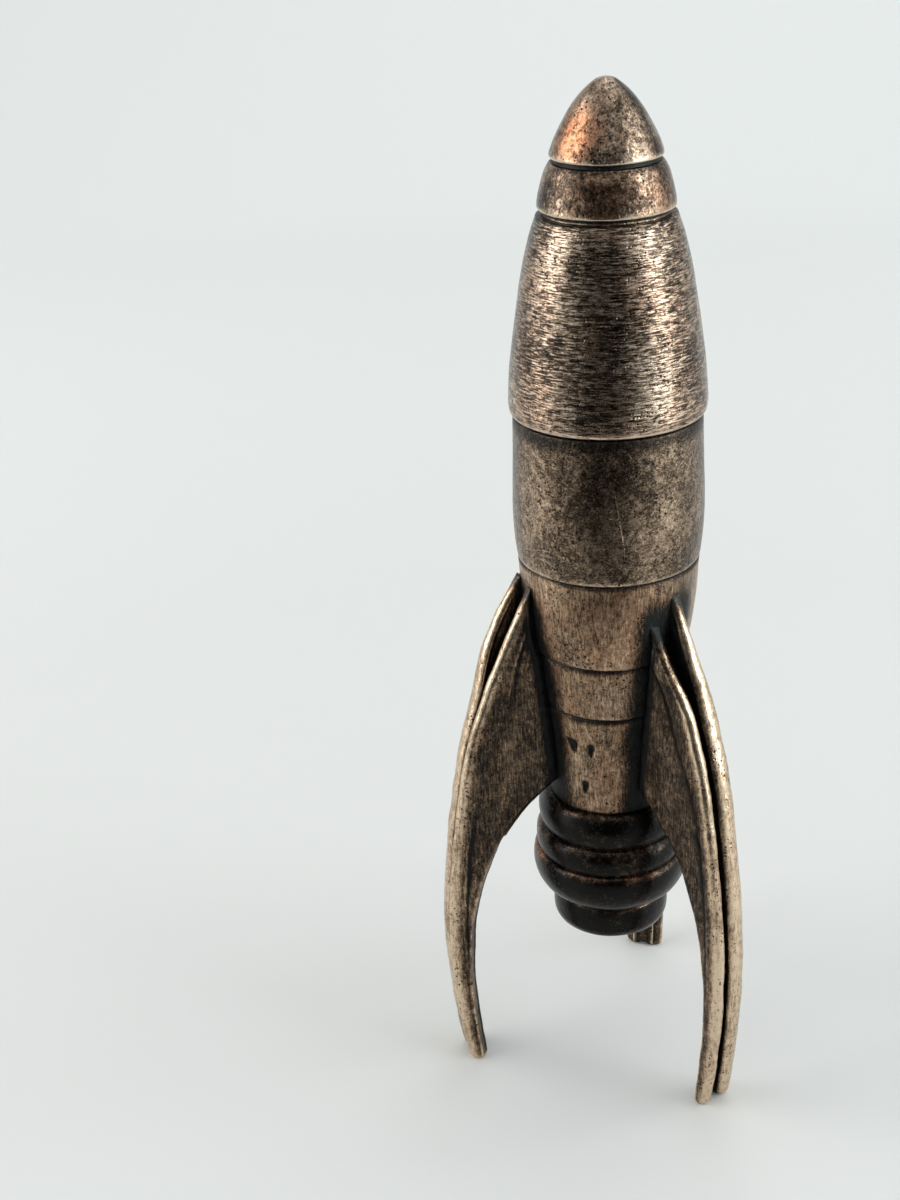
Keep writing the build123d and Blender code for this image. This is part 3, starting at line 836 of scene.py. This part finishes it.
def cheek_piece(number, side_name, side):
    angle = FIN_ANGLES[number - 1]
    node = f"fin_{number}_{side_name}_cheek"
    heights = fin_heights()
    outer, inner, hull = fin_reach(OUTER_EDGE, heights)
    shape = dict(CHEEK_SHAPES.get((number, side), {}))
    bulge, drop = shape.pop("bulge", 0.0) * MM, shape.pop("drop", 0.0) * MM
    outer += bulge * np.exp(-((heights / MM - 97.0) / 10.5) ** 2)
    outer -= drop * ease(heights, 86.0 * MM, 100.0 * MM)
    rows = []
    for z, o, i, h in zip(heights, outer, inner, hull):
        root = math.sqrt(max(h * h - (3.0 * MM) ** 2, 0.0)) - 0.35 * MM
        start = max(i, root) if z > ROOT_Z else i
        cut = foot_inset(z)
        loop = cheek_section(z, min(start + cut, o - 0.3 * MM), o - cut, **shape)
        loop[:, 1] = np.minimum(loop[:, 1], FIN_HALF + 0.6 * MM - cut)
        if z < ROOT_Z + 1.0 * MM:
            edge = ease(loop[:, 0] - start, 0.0, 1.3 * MM)
            over = loop[:, 1] > WEB_HALF + 0.1 * MM
            loop[:, 1] = np.where(over, loop[:, 1] - (1.0 - edge) * 0.7 * MM, loop[:, 1])
        rows.append([place_on_fin(angle, side, r, y, z) for r, y in loop])
    mesh = loft(rows, node)
    outward(mesh)
    hand_finish(mesh, number * 2 + side, 0.16 * MM, 5.0 * MM)
    points = coordinates(mesh)
    hollow = hollows(mesh, 3)
    a = math.radians(angle)
    out = points[:, 0] * math.cos(a) + points[:, 1] * math.sin(a)
    across = side * (points[:, 1] * math.cos(a) - points[:, 0] * math.sin(a))
    from_edge = edge_radius(OUTER_EDGE, points[:, 2]) - out
    rim = 1.0 - ease(from_edge, 0.8 * MM, 2.6 * MM)
    rub = np.clip(rim + np.clip(-hollow * 2.4 - 0.15, 0.0, 1.0), 0.0, 1.0)
    # The channel mask darkens the face beside the web: painted shade in the channel, with dust.
    channel = ease(from_edge, 0.3 * MM, 1.4 * MM)
    channel *= 1.0 - ease(across, WEB_HALF + 0.2 * MM, WEB_HALF + 1.1 * MM)
    # The root mask darkens the cheek where it meets the hull: painted shade at the joint, with black
    # patina.
    root = np.where(points[:, 2] > ROOT_Z + 6.0 * MM,
                    1.0 - ease(out - hull_radius(points[:, 2]), 0.2 * MM, 3.0 * MM), 0.0)
    grime_and_shade = np.maximum(np.maximum(channel, root), np.clip(hollow * 4.0, 0.0, 1.0))
    set_wear(mesh, rub * (1.0 - 0.8 * channel), grime_and_shade)
    return piece_object(f"{node}_shell", mesh, AIRFRAME, [node], "fin_bronze")


def web_piece(number):
    angle = FIN_ANGLES[number - 1]
    node = f"fin_{number}_web"
    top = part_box(node)[1].z
    heights = np.linspace(0.9 * MM, top - 0.2 * MM, 200)
    half = WEB_HALF + 0.02 * MM
    rows = []
    for z, o, i, h in zip(heights, *fin_reach(WEB_EDGE, heights)):
        start = max(i, h - 0.3 * MM) if z > ROOT_Z else i
        start = min(start, o - 0.4 * MM)
        loop = [(start + share * (o - start), half) for share in np.linspace(0.0, 1.0, 12)]
        loop += [(o - 0.45 * MM * math.cos(t), half * math.sin(t))
                 for t in np.linspace(math.pi / 2, -math.pi / 2, 9)[1:-1]]
        loop += [(start + share * (o - start), -half) for share in np.linspace(1.0, 0.0, 12)]
        rows.append([place_on_fin(angle, 1, r, y, z) for r, y in loop])
    mesh = loft(rows, node)
    outward(mesh)
    hand_finish(mesh, number + 20, 0.10 * MM, 3.0 * MM)
    points = coordinates(mesh)
    set_wear(mesh, np.zeros(len(points)), np.full(len(points), 0.15))
    return piece_object(f"{node}_plate", mesh, AIRFRAME, [node], slot_of(node))


# ---- fasteners -----------------------------------------------------------
def thread_tree():
    """A tree that winds a V-shaped ridge round a rod and adds the rod's core."""
    name = "threaded_rod"
    if name in bpy.data.node_groups:
        return bpy.data.node_groups[name]
    tree, given = new_tree(name, (("Radius", "NodeSocketFloat"), ("Bottom", "NodeSocketFloat"),
                                  ("Length", "NodeSocketFloat"), ("Pitch", "NodeSocketFloat"),
                                  ("Material", "NodeSocketMaterial")))
    turns = math_node(tree, "DIVIDE", given["Length"], given["Pitch"])
    depth = math_node(tree, "MULTIPLY", given["Pitch"], 0.45)
    root = math_node(tree, "SUBTRACT", given["Radius"], depth)
    helix = add_node(tree, "GeometryNodeCurveSpiral",
                     {"Resolution": 28, "Rotations": turns, "Start Radius": root,
                      "End Radius": root, "Height": given["Length"]}).outputs[0]
    ridge = add_node(tree, "GeometryNodeCurvePrimitiveCircle",
                     {"Resolution": 4, "Radius": depth}, mode="RADIUS").outputs[0]
    thread = add_node(tree, "GeometryNodeCurveToMesh",
                      {"Curve": helix, "Profile Curve": ridge, "Fill Caps": True}).outputs[0]
    core = add_node(tree, "GeometryNodeMeshCylinder",
                    {"Vertices": 48, "Radius": root, "Depth": given["Length"]}).outputs["Mesh"]
    half = math_node(tree, "MULTIPLY", given["Length"], 0.5)
    lift = add_node(tree, "ShaderNodeCombineXYZ", {2: half}).outputs[0]
    core = add_node(tree, "GeometryNodeTransform", {"Geometry": core, "Translation": lift}).outputs[0]
    joined = add_node(tree, "GeometryNodeJoinGeometry")
    tree.links.new(core, joined.inputs[0])
    tree.links.new(thread, joined.inputs[0])
    up = add_node(tree, "ShaderNodeCombineXYZ", {2: given["Bottom"]}).outputs[0]
    raised = add_node(tree, "GeometryNodeTransform",
                      {"Geometry": joined.outputs[0], "Translation": up}).outputs[0]
    finish_tree(tree, raised, given["Material"])
    return tree


def rod_piece(node, body):
    low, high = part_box(node)
    slot = slot_of(node)
    pitch = sizes().thread_pitch
    mesh = run_tree(thread_tree(), bpy.data.meshes.new("empty"),
                    {"Radius": (high.x - low.x) / 2, "Bottom": low.z + 0.3 * pitch,
                     "Length": high.z - low.z - 0.6 * pitch, "Pitch": pitch,
                     "Material": finish_material(slot)})
    for polygon in mesh.polygons:
        polygon.use_smooth = False
    return piece_object(f"{node}_threaded", mesh, body, [node], slot)


def nut_mesh(work, low_z, high_z, flats, hole):
    """A hexagon nut with chamfered corners and a bored hole."""
    count = 48
    levels = ((low_z, 0.0), (low_z + 0.5 * MM, 1.0), (high_z - 0.5 * MM, 1.0), (high_z, 0.0))
    rings = []
    for z, full in levels:
        ring = []
        for i in range(count):
            a = 2 * math.pi * i / count
            fold = (a + math.pi / 6) % (math.pi / 3) - math.pi / 6
            hexagon = flats / math.cos(fold)
            radius = hexagon if full else min(hexagon, flats * 1.01)
            ring.append(work.verts.new((radius * math.cos(a), radius * math.sin(a), z)))
        rings.append(ring)
    for z in (high_z, high_z - 0.3 * MM, low_z + 0.3 * MM, low_z):
        radius = hole + (0.3 * MM if z in (low_z, high_z) else 0.0)
        rings.append([work.verts.new((radius * math.cos(2 * math.pi * i / count),
                                      radius * math.sin(2 * math.pi * i / count), z))
                      for i in range(count)])
    for ring, above in zip(rings, rings[1:] + rings[:1]):
        for i in range(count):
            k = (i + 1) % count
            work.faces.new((ring[i], ring[k], above[k], above[i]))


def nuts_piece(node, body, hole):
    """All nuts of a node, at the two ends of its box or alone."""
    low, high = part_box(node)
    flats = (high.y - low.y) / 2
    tall = 3.0 * MM
    bottoms = [low.z] if high.z - low.z < 2 * tall else [low.z, high.z - tall]
    work = bmesh.new()
    for bottom in bottoms:
        nut_mesh(work, bottom, bottom + tall, flats, hole)
    bmesh.ops.recalc_face_normals(work, faces=work.faces)
    mesh = bpy.data.meshes.new(node)
    work.to_mesh(mesh)
    work.free()
    slot = slot_of(node)
    return piece_object(f"{node}_hex", mesh, body, [node], slot)


def plain_nodes(*nodes):
    """CAD nodes whose shape is right: they stay and get the finished material."""
    for node in nodes:
        part = frame["nodes"][node]
        part.data.materials.clear()
        part.data.materials.append(finish_material(slot_of(node)))


# ---- operators -----------------------------------------------------------
class ROCKET_OT_nose_section(bpy.types.Operator):
    """Build the lift-off nose section: nose cone, neck ring and upper hull"""
    bl_idname = "rocket.nose_section"
    bl_label = "Nose section"

    def execute(self, context):
        turned_piece("nose_cone", NOSE_SECTION, 11, dents=0.8, tooling=1.4)
        turned_piece("neck_ring", NOSE_SECTION, 12, dents=0.9, tooling=1.4, lip_shade_and_dust=1.0,
                     lip_shade_and_dust_depth=1.5 * MM)
        turned_piece("upper_hull", NOSE_SECTION, 13, dents=1.2, lip_shade_and_dust=0.7, lip_shade_and_dust_depth=0.9 * MM)
        return {"FINISHED"}


class ROCKET_OT_hull(bpy.types.Operator):
    """Build the hull sections below the nose: middle hull, lower hull, waist and tail"""
    bl_idname = "rocket.hull"
    bl_label = "Hull"

    def execute(self, context):
        turned_piece("middle_hull", AIRFRAME, 14, dents=1.3, tooling=1.6, lip_shade_and_dust=0.75,
                     lip_shade_and_dust_depth=3.2 * MM)
        turned_piece("lower_hull", AIRFRAME, 15, dents=1.0, lip_shade_and_dust=0.9, lip_shade_and_dust_depth=1.0 * MM,
                     edge_rub=0.4)
        turned_piece("waist_sleeve", AIRFRAME, 16, dents=1.0, lip_shade_and_dust=1.0, lip_shade_and_dust_depth=1.5 * MM,
                     edge_rub=0.3)
        turned_piece("tail_sleeve", AIRFRAME, 17, dents=1.2, lip_shade_and_dust=1.0, lip_shade_and_dust_depth=1.5 * MM,
                     edge_rub=0.3, marks=PUNCH_MARKS)
        return {"FINISHED"}


class ROCKET_OT_nozzle(bpy.types.Operator):
    """Build the nozzle's four rings"""
    bl_idname = "rocket.nozzle"
    bl_label = "Nozzle"

    def execute(self, context):
        for seed, node in enumerate(("nozzle_collar", "nozzle_band", "nozzle_bell", "exit_ring"), 31):
            turned_piece(node, AIRFRAME, seed, dents=1.6, tooling=1.2)
        return {"FINISHED"}


class ROCKET_OT_fins(bpy.types.Operator):
    """Build the three fins, each of two rimmed cheeks on a sunken web"""
    bl_idname = "rocket.fins"
    bl_label = "Fins"

    def execute(self, context):
        for number in (1, 2, 3):
            cheek_piece(number, "left", 1)
            cheek_piece(number, "right", -1)
            web_piece(number)
        return {"FINISHED"}


class ROCKET_OT_inner_works(bpy.types.Operator):
    """Build the spigot, the rods, the nuts and the other pieces inside"""
    bl_idname = "rocket.inner_works"
    bl_label = "Inner works"

    def execute(self, context):
        turned_piece("spigot_plug", AIRFRAME, 41, dents=0.0, tooling=0.1)
        rod_piece("tie_rod", AIRFRAME)
        rod_piece("nose_stud", NOSE_SECTION)
        nuts_piece("tie_rod_nuts", AIRFRAME, 1.95 * MM)
        nuts_piece("nose_nut", NOSE_SECTION, 1.65 * MM)
        plain_nodes("tie_rod_washers", "nose_washer", "fin_pins", "nozzle_core")
        return {"FINISHED"}


class ROCKET_OT_stage(bpy.types.Operator):
    """Set up the table, the backdrop, the soft lights and the camera"""
    bl_idname = "rocket.stage"
    bl_label = "Stage"

    def execute(self, context):
        build_stage()
        return {"FINISHED"}


class ROCKET_PT_panel(bpy.types.Panel):
    """Lists the rocket's build steps and settings"""
    bl_idname = "ROCKET_PT_panel"
    bl_label = "Space Rocket"
    bl_space_type = "VIEW_3D"
    bl_region_type = "UI"
    bl_category = "Rocket"

    def draw(self, context):
        for step in STEPS:
            self.layout.operator(step.bl_idname)
        for group in (context.scene.rocket_sizes, context.scene.rocket_colours):
            box = self.layout.box()
            for name in group.bl_rna.properties.keys():
                if name not in ("rna_type", "name"):
                    box.prop(group, name)


# ---- stage ---------------------------------------------------------------
CAMERA_DISTANCE = 1.4901     # in rocket heights, level distance from the axis
CAMERA_HEIGHT = 1.2183       # in rocket heights, above the table
CAMERA_BEARING = -74.89      # degrees round the axis from +X
CAMERA_PAN = 5.899           # degrees that the camera looks to the left of the axis
CAMERA_TILT = 25.268
CAMERA_ROLL = -2.850
CAMERA_LENS = 51.0
FADE_FROM, FADE_TO = 0.24, 0.80      # metres from the axis, where the table turns paler: painted light, in place of a light from behind the rocket
SWEEP_BEND, SWEEP_REACH = 0.5, 1.2   # radius of the sweep and its distance behind the rocket
SWEEP_FRONT, SWEEP_TALL, SWEEP_HALF = 1.6, 2.2, 3.0
FLAG_DISTANCE, FLAG_HALF, FLAG_TALL = 0.27, 0.17, 0.34
FLAG_TURN = -3.0                     # degrees round the axis from the camera's bearing
FLAG_FOOT = 0.15                     # where the flag's dark foot on the table starts
FLAG_FOOT_HALF = 0.09
SKY_STRENGTH = 0.64


def plain_material(name, shade, roughness):
    material = bpy.data.materials.new(name)
    material.use_nodes = True
    shader = material.node_tree.nodes["Principled BSDF"]
    shader.inputs["Base Color"].default_value = (*shade, 1.0)
    shader.inputs["Roughness"].default_value = roughness
    return material


def table_material():
    """The table's own shade near the rocket, and the backdrop's paler one away from it: the paler shade
    is painted light, in place of a light from behind the rocket.
    """
    near, far_painted_light = tuple(colours().floor), tuple(colours().wall)
    material = plain_material("table", near, 0.55)
    tree = material.node_tree
    point = add_node(tree, "ShaderNodeTexCoord").outputs["Object"]
    gap = add_node(tree, "ShaderNodeVectorMath", {0: point}, operation="LENGTH").outputs["Value"]
    # Painted light: the table grows paler away from the rocket.
    shade = mix_colour(tree, remap(tree, gap, FADE_FROM, FADE_TO), near, far_painted_light)
    tree.links.new(shade, tree.nodes["Principled BSDF"].inputs["Base Color"])
    return material


def backdrop():
    """A table top that sweeps up into a wall behind the rocket."""
    bearing = math.radians(CAMERA_BEARING)
    back = Vector((-math.cos(bearing), -math.sin(bearing), 0.0))
    side = Vector((back.y, -back.x, 0.0))
    start = SWEEP_REACH - SWEEP_BEND
    line = [(-SWEEP_FRONT, 0.0), (start, 0.0)]
    for i in range(1, 25):
        a = math.radians(90.0 * i / 24)
        line.append((start + SWEEP_BEND * math.sin(a), SWEEP_BEND - SWEEP_BEND * math.cos(a)))
    line.append((SWEEP_REACH, SWEEP_TALL))
    work = bmesh.new()
    rings = [[work.verts.new(back * d + side * w + Vector((0, 0, z)))
              for w in (-SWEEP_HALF, SWEEP_HALF)] for d, z in line]
    for a, b in zip(rings, rings[1:]):
        work.faces.new((a[0], b[0], b[1], a[1]))
    bmesh.ops.recalc_face_normals(work, faces=work.faces)
    mesh = bpy.data.meshes.new("table_and_wall")
    work.to_mesh(mesh)
    work.free()
    for polygon in mesh.polygons:
        polygon.use_smooth = True
    sweep = bpy.data.objects.new("table_and_wall", mesh)
    bpy.context.scene.collection.objects.link(sweep)
    mesh.materials.append(table_material())


def soft_light(name, bearing, distance, height, size, power, tint=(1.0, 1.0, 1.0), gloss=False):
    """An area light at a bearing round the axis, aimed at the rocket's middle.

    bearing is in degrees from the camera's. A gloss light shows in the metal and lights nothing else.
    """
    data = bpy.data.lights.new(name, "AREA")
    data.shape = "RECTANGLE"
    data.size, data.size_y = size
    data.energy = power
    data.color = tint
    lamp = bpy.data.objects.new(name, data)
    bpy.context.scene.collection.objects.link(lamp)
    a = math.radians(CAMERA_BEARING + bearing)
    lamp.location = (distance * math.cos(a), distance * math.sin(a), height)
    aim = Vector((0.0, 0.0, HEIGHT / 2)) - lamp.location
    lamp.rotation_mode = "QUATERNION"
    lamp.rotation_quaternion = aim.to_track_quat("-Z", "Y")
    lamp.visible_diffuse = not gloss


def dark_flag():
    """A dark card in front of the rocket that only its gloss sees."""
    bearing = math.radians(CAMERA_BEARING + FLAG_TURN)
    out = Vector((math.cos(bearing), math.sin(bearing), 0.0))
    side = Vector((-out.y, out.x, 0.0))
    corners = [out * d + side * w + Vector((0, 0, z)) for d, w, z in
               ((FLAG_DISTANCE, -FLAG_HALF, 0.001), (FLAG_DISTANCE, FLAG_HALF, 0.001),
                (FLAG_DISTANCE, FLAG_HALF, FLAG_TALL), (FLAG_DISTANCE, -FLAG_HALF, FLAG_TALL),
                (FLAG_FOOT, -FLAG_FOOT_HALF, 0.0006), (FLAG_FOOT, FLAG_FOOT_HALF, 0.0006))]
    mesh = bpy.data.meshes.new("dark_flag")
    mesh.from_pydata([tuple(v) for v in corners], [], [(0, 1, 2, 3), (4, 5, 1, 0)])
    card = bpy.data.objects.new("dark_flag", mesh)
    bpy.context.scene.collection.objects.link(card)
    mesh.materials.append(plain_material("flag_black", (0.012, 0.011, 0.010), 0.9))
    card.visible_camera = False
    card.visible_diffuse = False
    card.visible_shadow = False


def sky():
    """Even pale light from all round."""
    world = bpy.data.worlds.new("soft_sky")
    world.use_nodes = True
    background = world.node_tree.nodes["Background"].inputs
    background["Color"].default_value = (0.86, 0.90, 0.92, 1.0)
    background["Strength"].default_value = SKY_STRENGTH
    bpy.context.scene.world = world


def camera():
    bearing = math.radians(CAMERA_BEARING)
    spot = Vector((CAMERA_DISTANCE * math.cos(bearing), CAMERA_DISTANCE * math.sin(bearing),
                   CAMERA_HEIGHT)) * HEIGHT
    pan = bearing + math.pi + math.radians(CAMERA_PAN)
    tilt = math.radians(CAMERA_TILT)
    look = Vector((math.cos(pan) * math.cos(tilt), math.sin(pan) * math.cos(tilt), -math.sin(tilt)))
    level = Vector((math.sin(pan), -math.cos(pan), 0.0))
    above = level.cross(look)
    roll = math.radians(CAMERA_ROLL)
    right = level * math.cos(roll) + above * math.sin(roll)
    up = above * math.cos(roll) - level * math.sin(roll)
    turn = Matrix((right, up, -look)).transposed()
    data = bpy.data.cameras.new("camera")
    data.lens = CAMERA_LENS
    data.sensor_width = 36.0
    data.clip_start = 0.01
    eye = bpy.data.objects.new("camera", data)
    bpy.context.scene.collection.objects.link(eye)
    eye.matrix_world = Matrix.Translation(spot) @ turn.to_4x4()
    bpy.context.scene.camera = eye


def build_stage():
    backdrop()
    dark_flag()
    sky()
    soft_light("left_window", -88.0, 0.9, 0.55, (0.9, 0.9), 5.0, (1.0, 0.97, 0.95))
    soft_light("right_window", 86.0, 0.9, 0.50, (0.8, 0.9), 5.0, (0.94, 0.98, 1.0))
    soft_light("left_gleam", -80.0, 0.7, 0.30, (0.35, 0.7), 1.6, gloss=True)
    soft_light("right_gleam", 68.0, 0.7, 0.28, (0.28, 0.6), 2.6, (0.90, 0.97, 1.0), gloss=True)
    soft_light("ceiling", 150.0, 0.5, 1.4, (1.2, 1.2), 4.0)
    camera()
    bpy.context.scene.view_settings.view_transform = "Standard"


# ---- registration and run ------------------------------------------------
STEPS = (ROCKET_OT_nose_section, ROCKET_OT_hull, ROCKET_OT_nozzle, ROCKET_OT_fins,
         ROCKET_OT_inner_works, ROCKET_OT_stage)
CLASSES = (RocketSizes, RocketColours, *STEPS, ROCKET_PT_panel)


def register():
    for item in CLASSES:
        bpy.utils.register_class(item)
    bpy.types.Scene.rocket_sizes = bpy.props.PointerProperty(type=RocketSizes)
    bpy.types.Scene.rocket_colours = bpy.props.PointerProperty(type=RocketColours)


def unregister():
    del bpy.types.Scene.rocket_colours
    del bpy.types.Scene.rocket_sizes
    for item in reversed(CLASSES):
        bpy.utils.unregister_class(item)


def main():
    register()
    bpy.ops.rocket.nose_section()
    bpy.ops.rocket.hull()
    bpy.ops.rocket.nozzle()
    bpy.ops.rocket.fins()
    bpy.ops.rocket.inner_works()
    bpy.ops.rocket.stage()


if __name__ == "__main__":
    main()
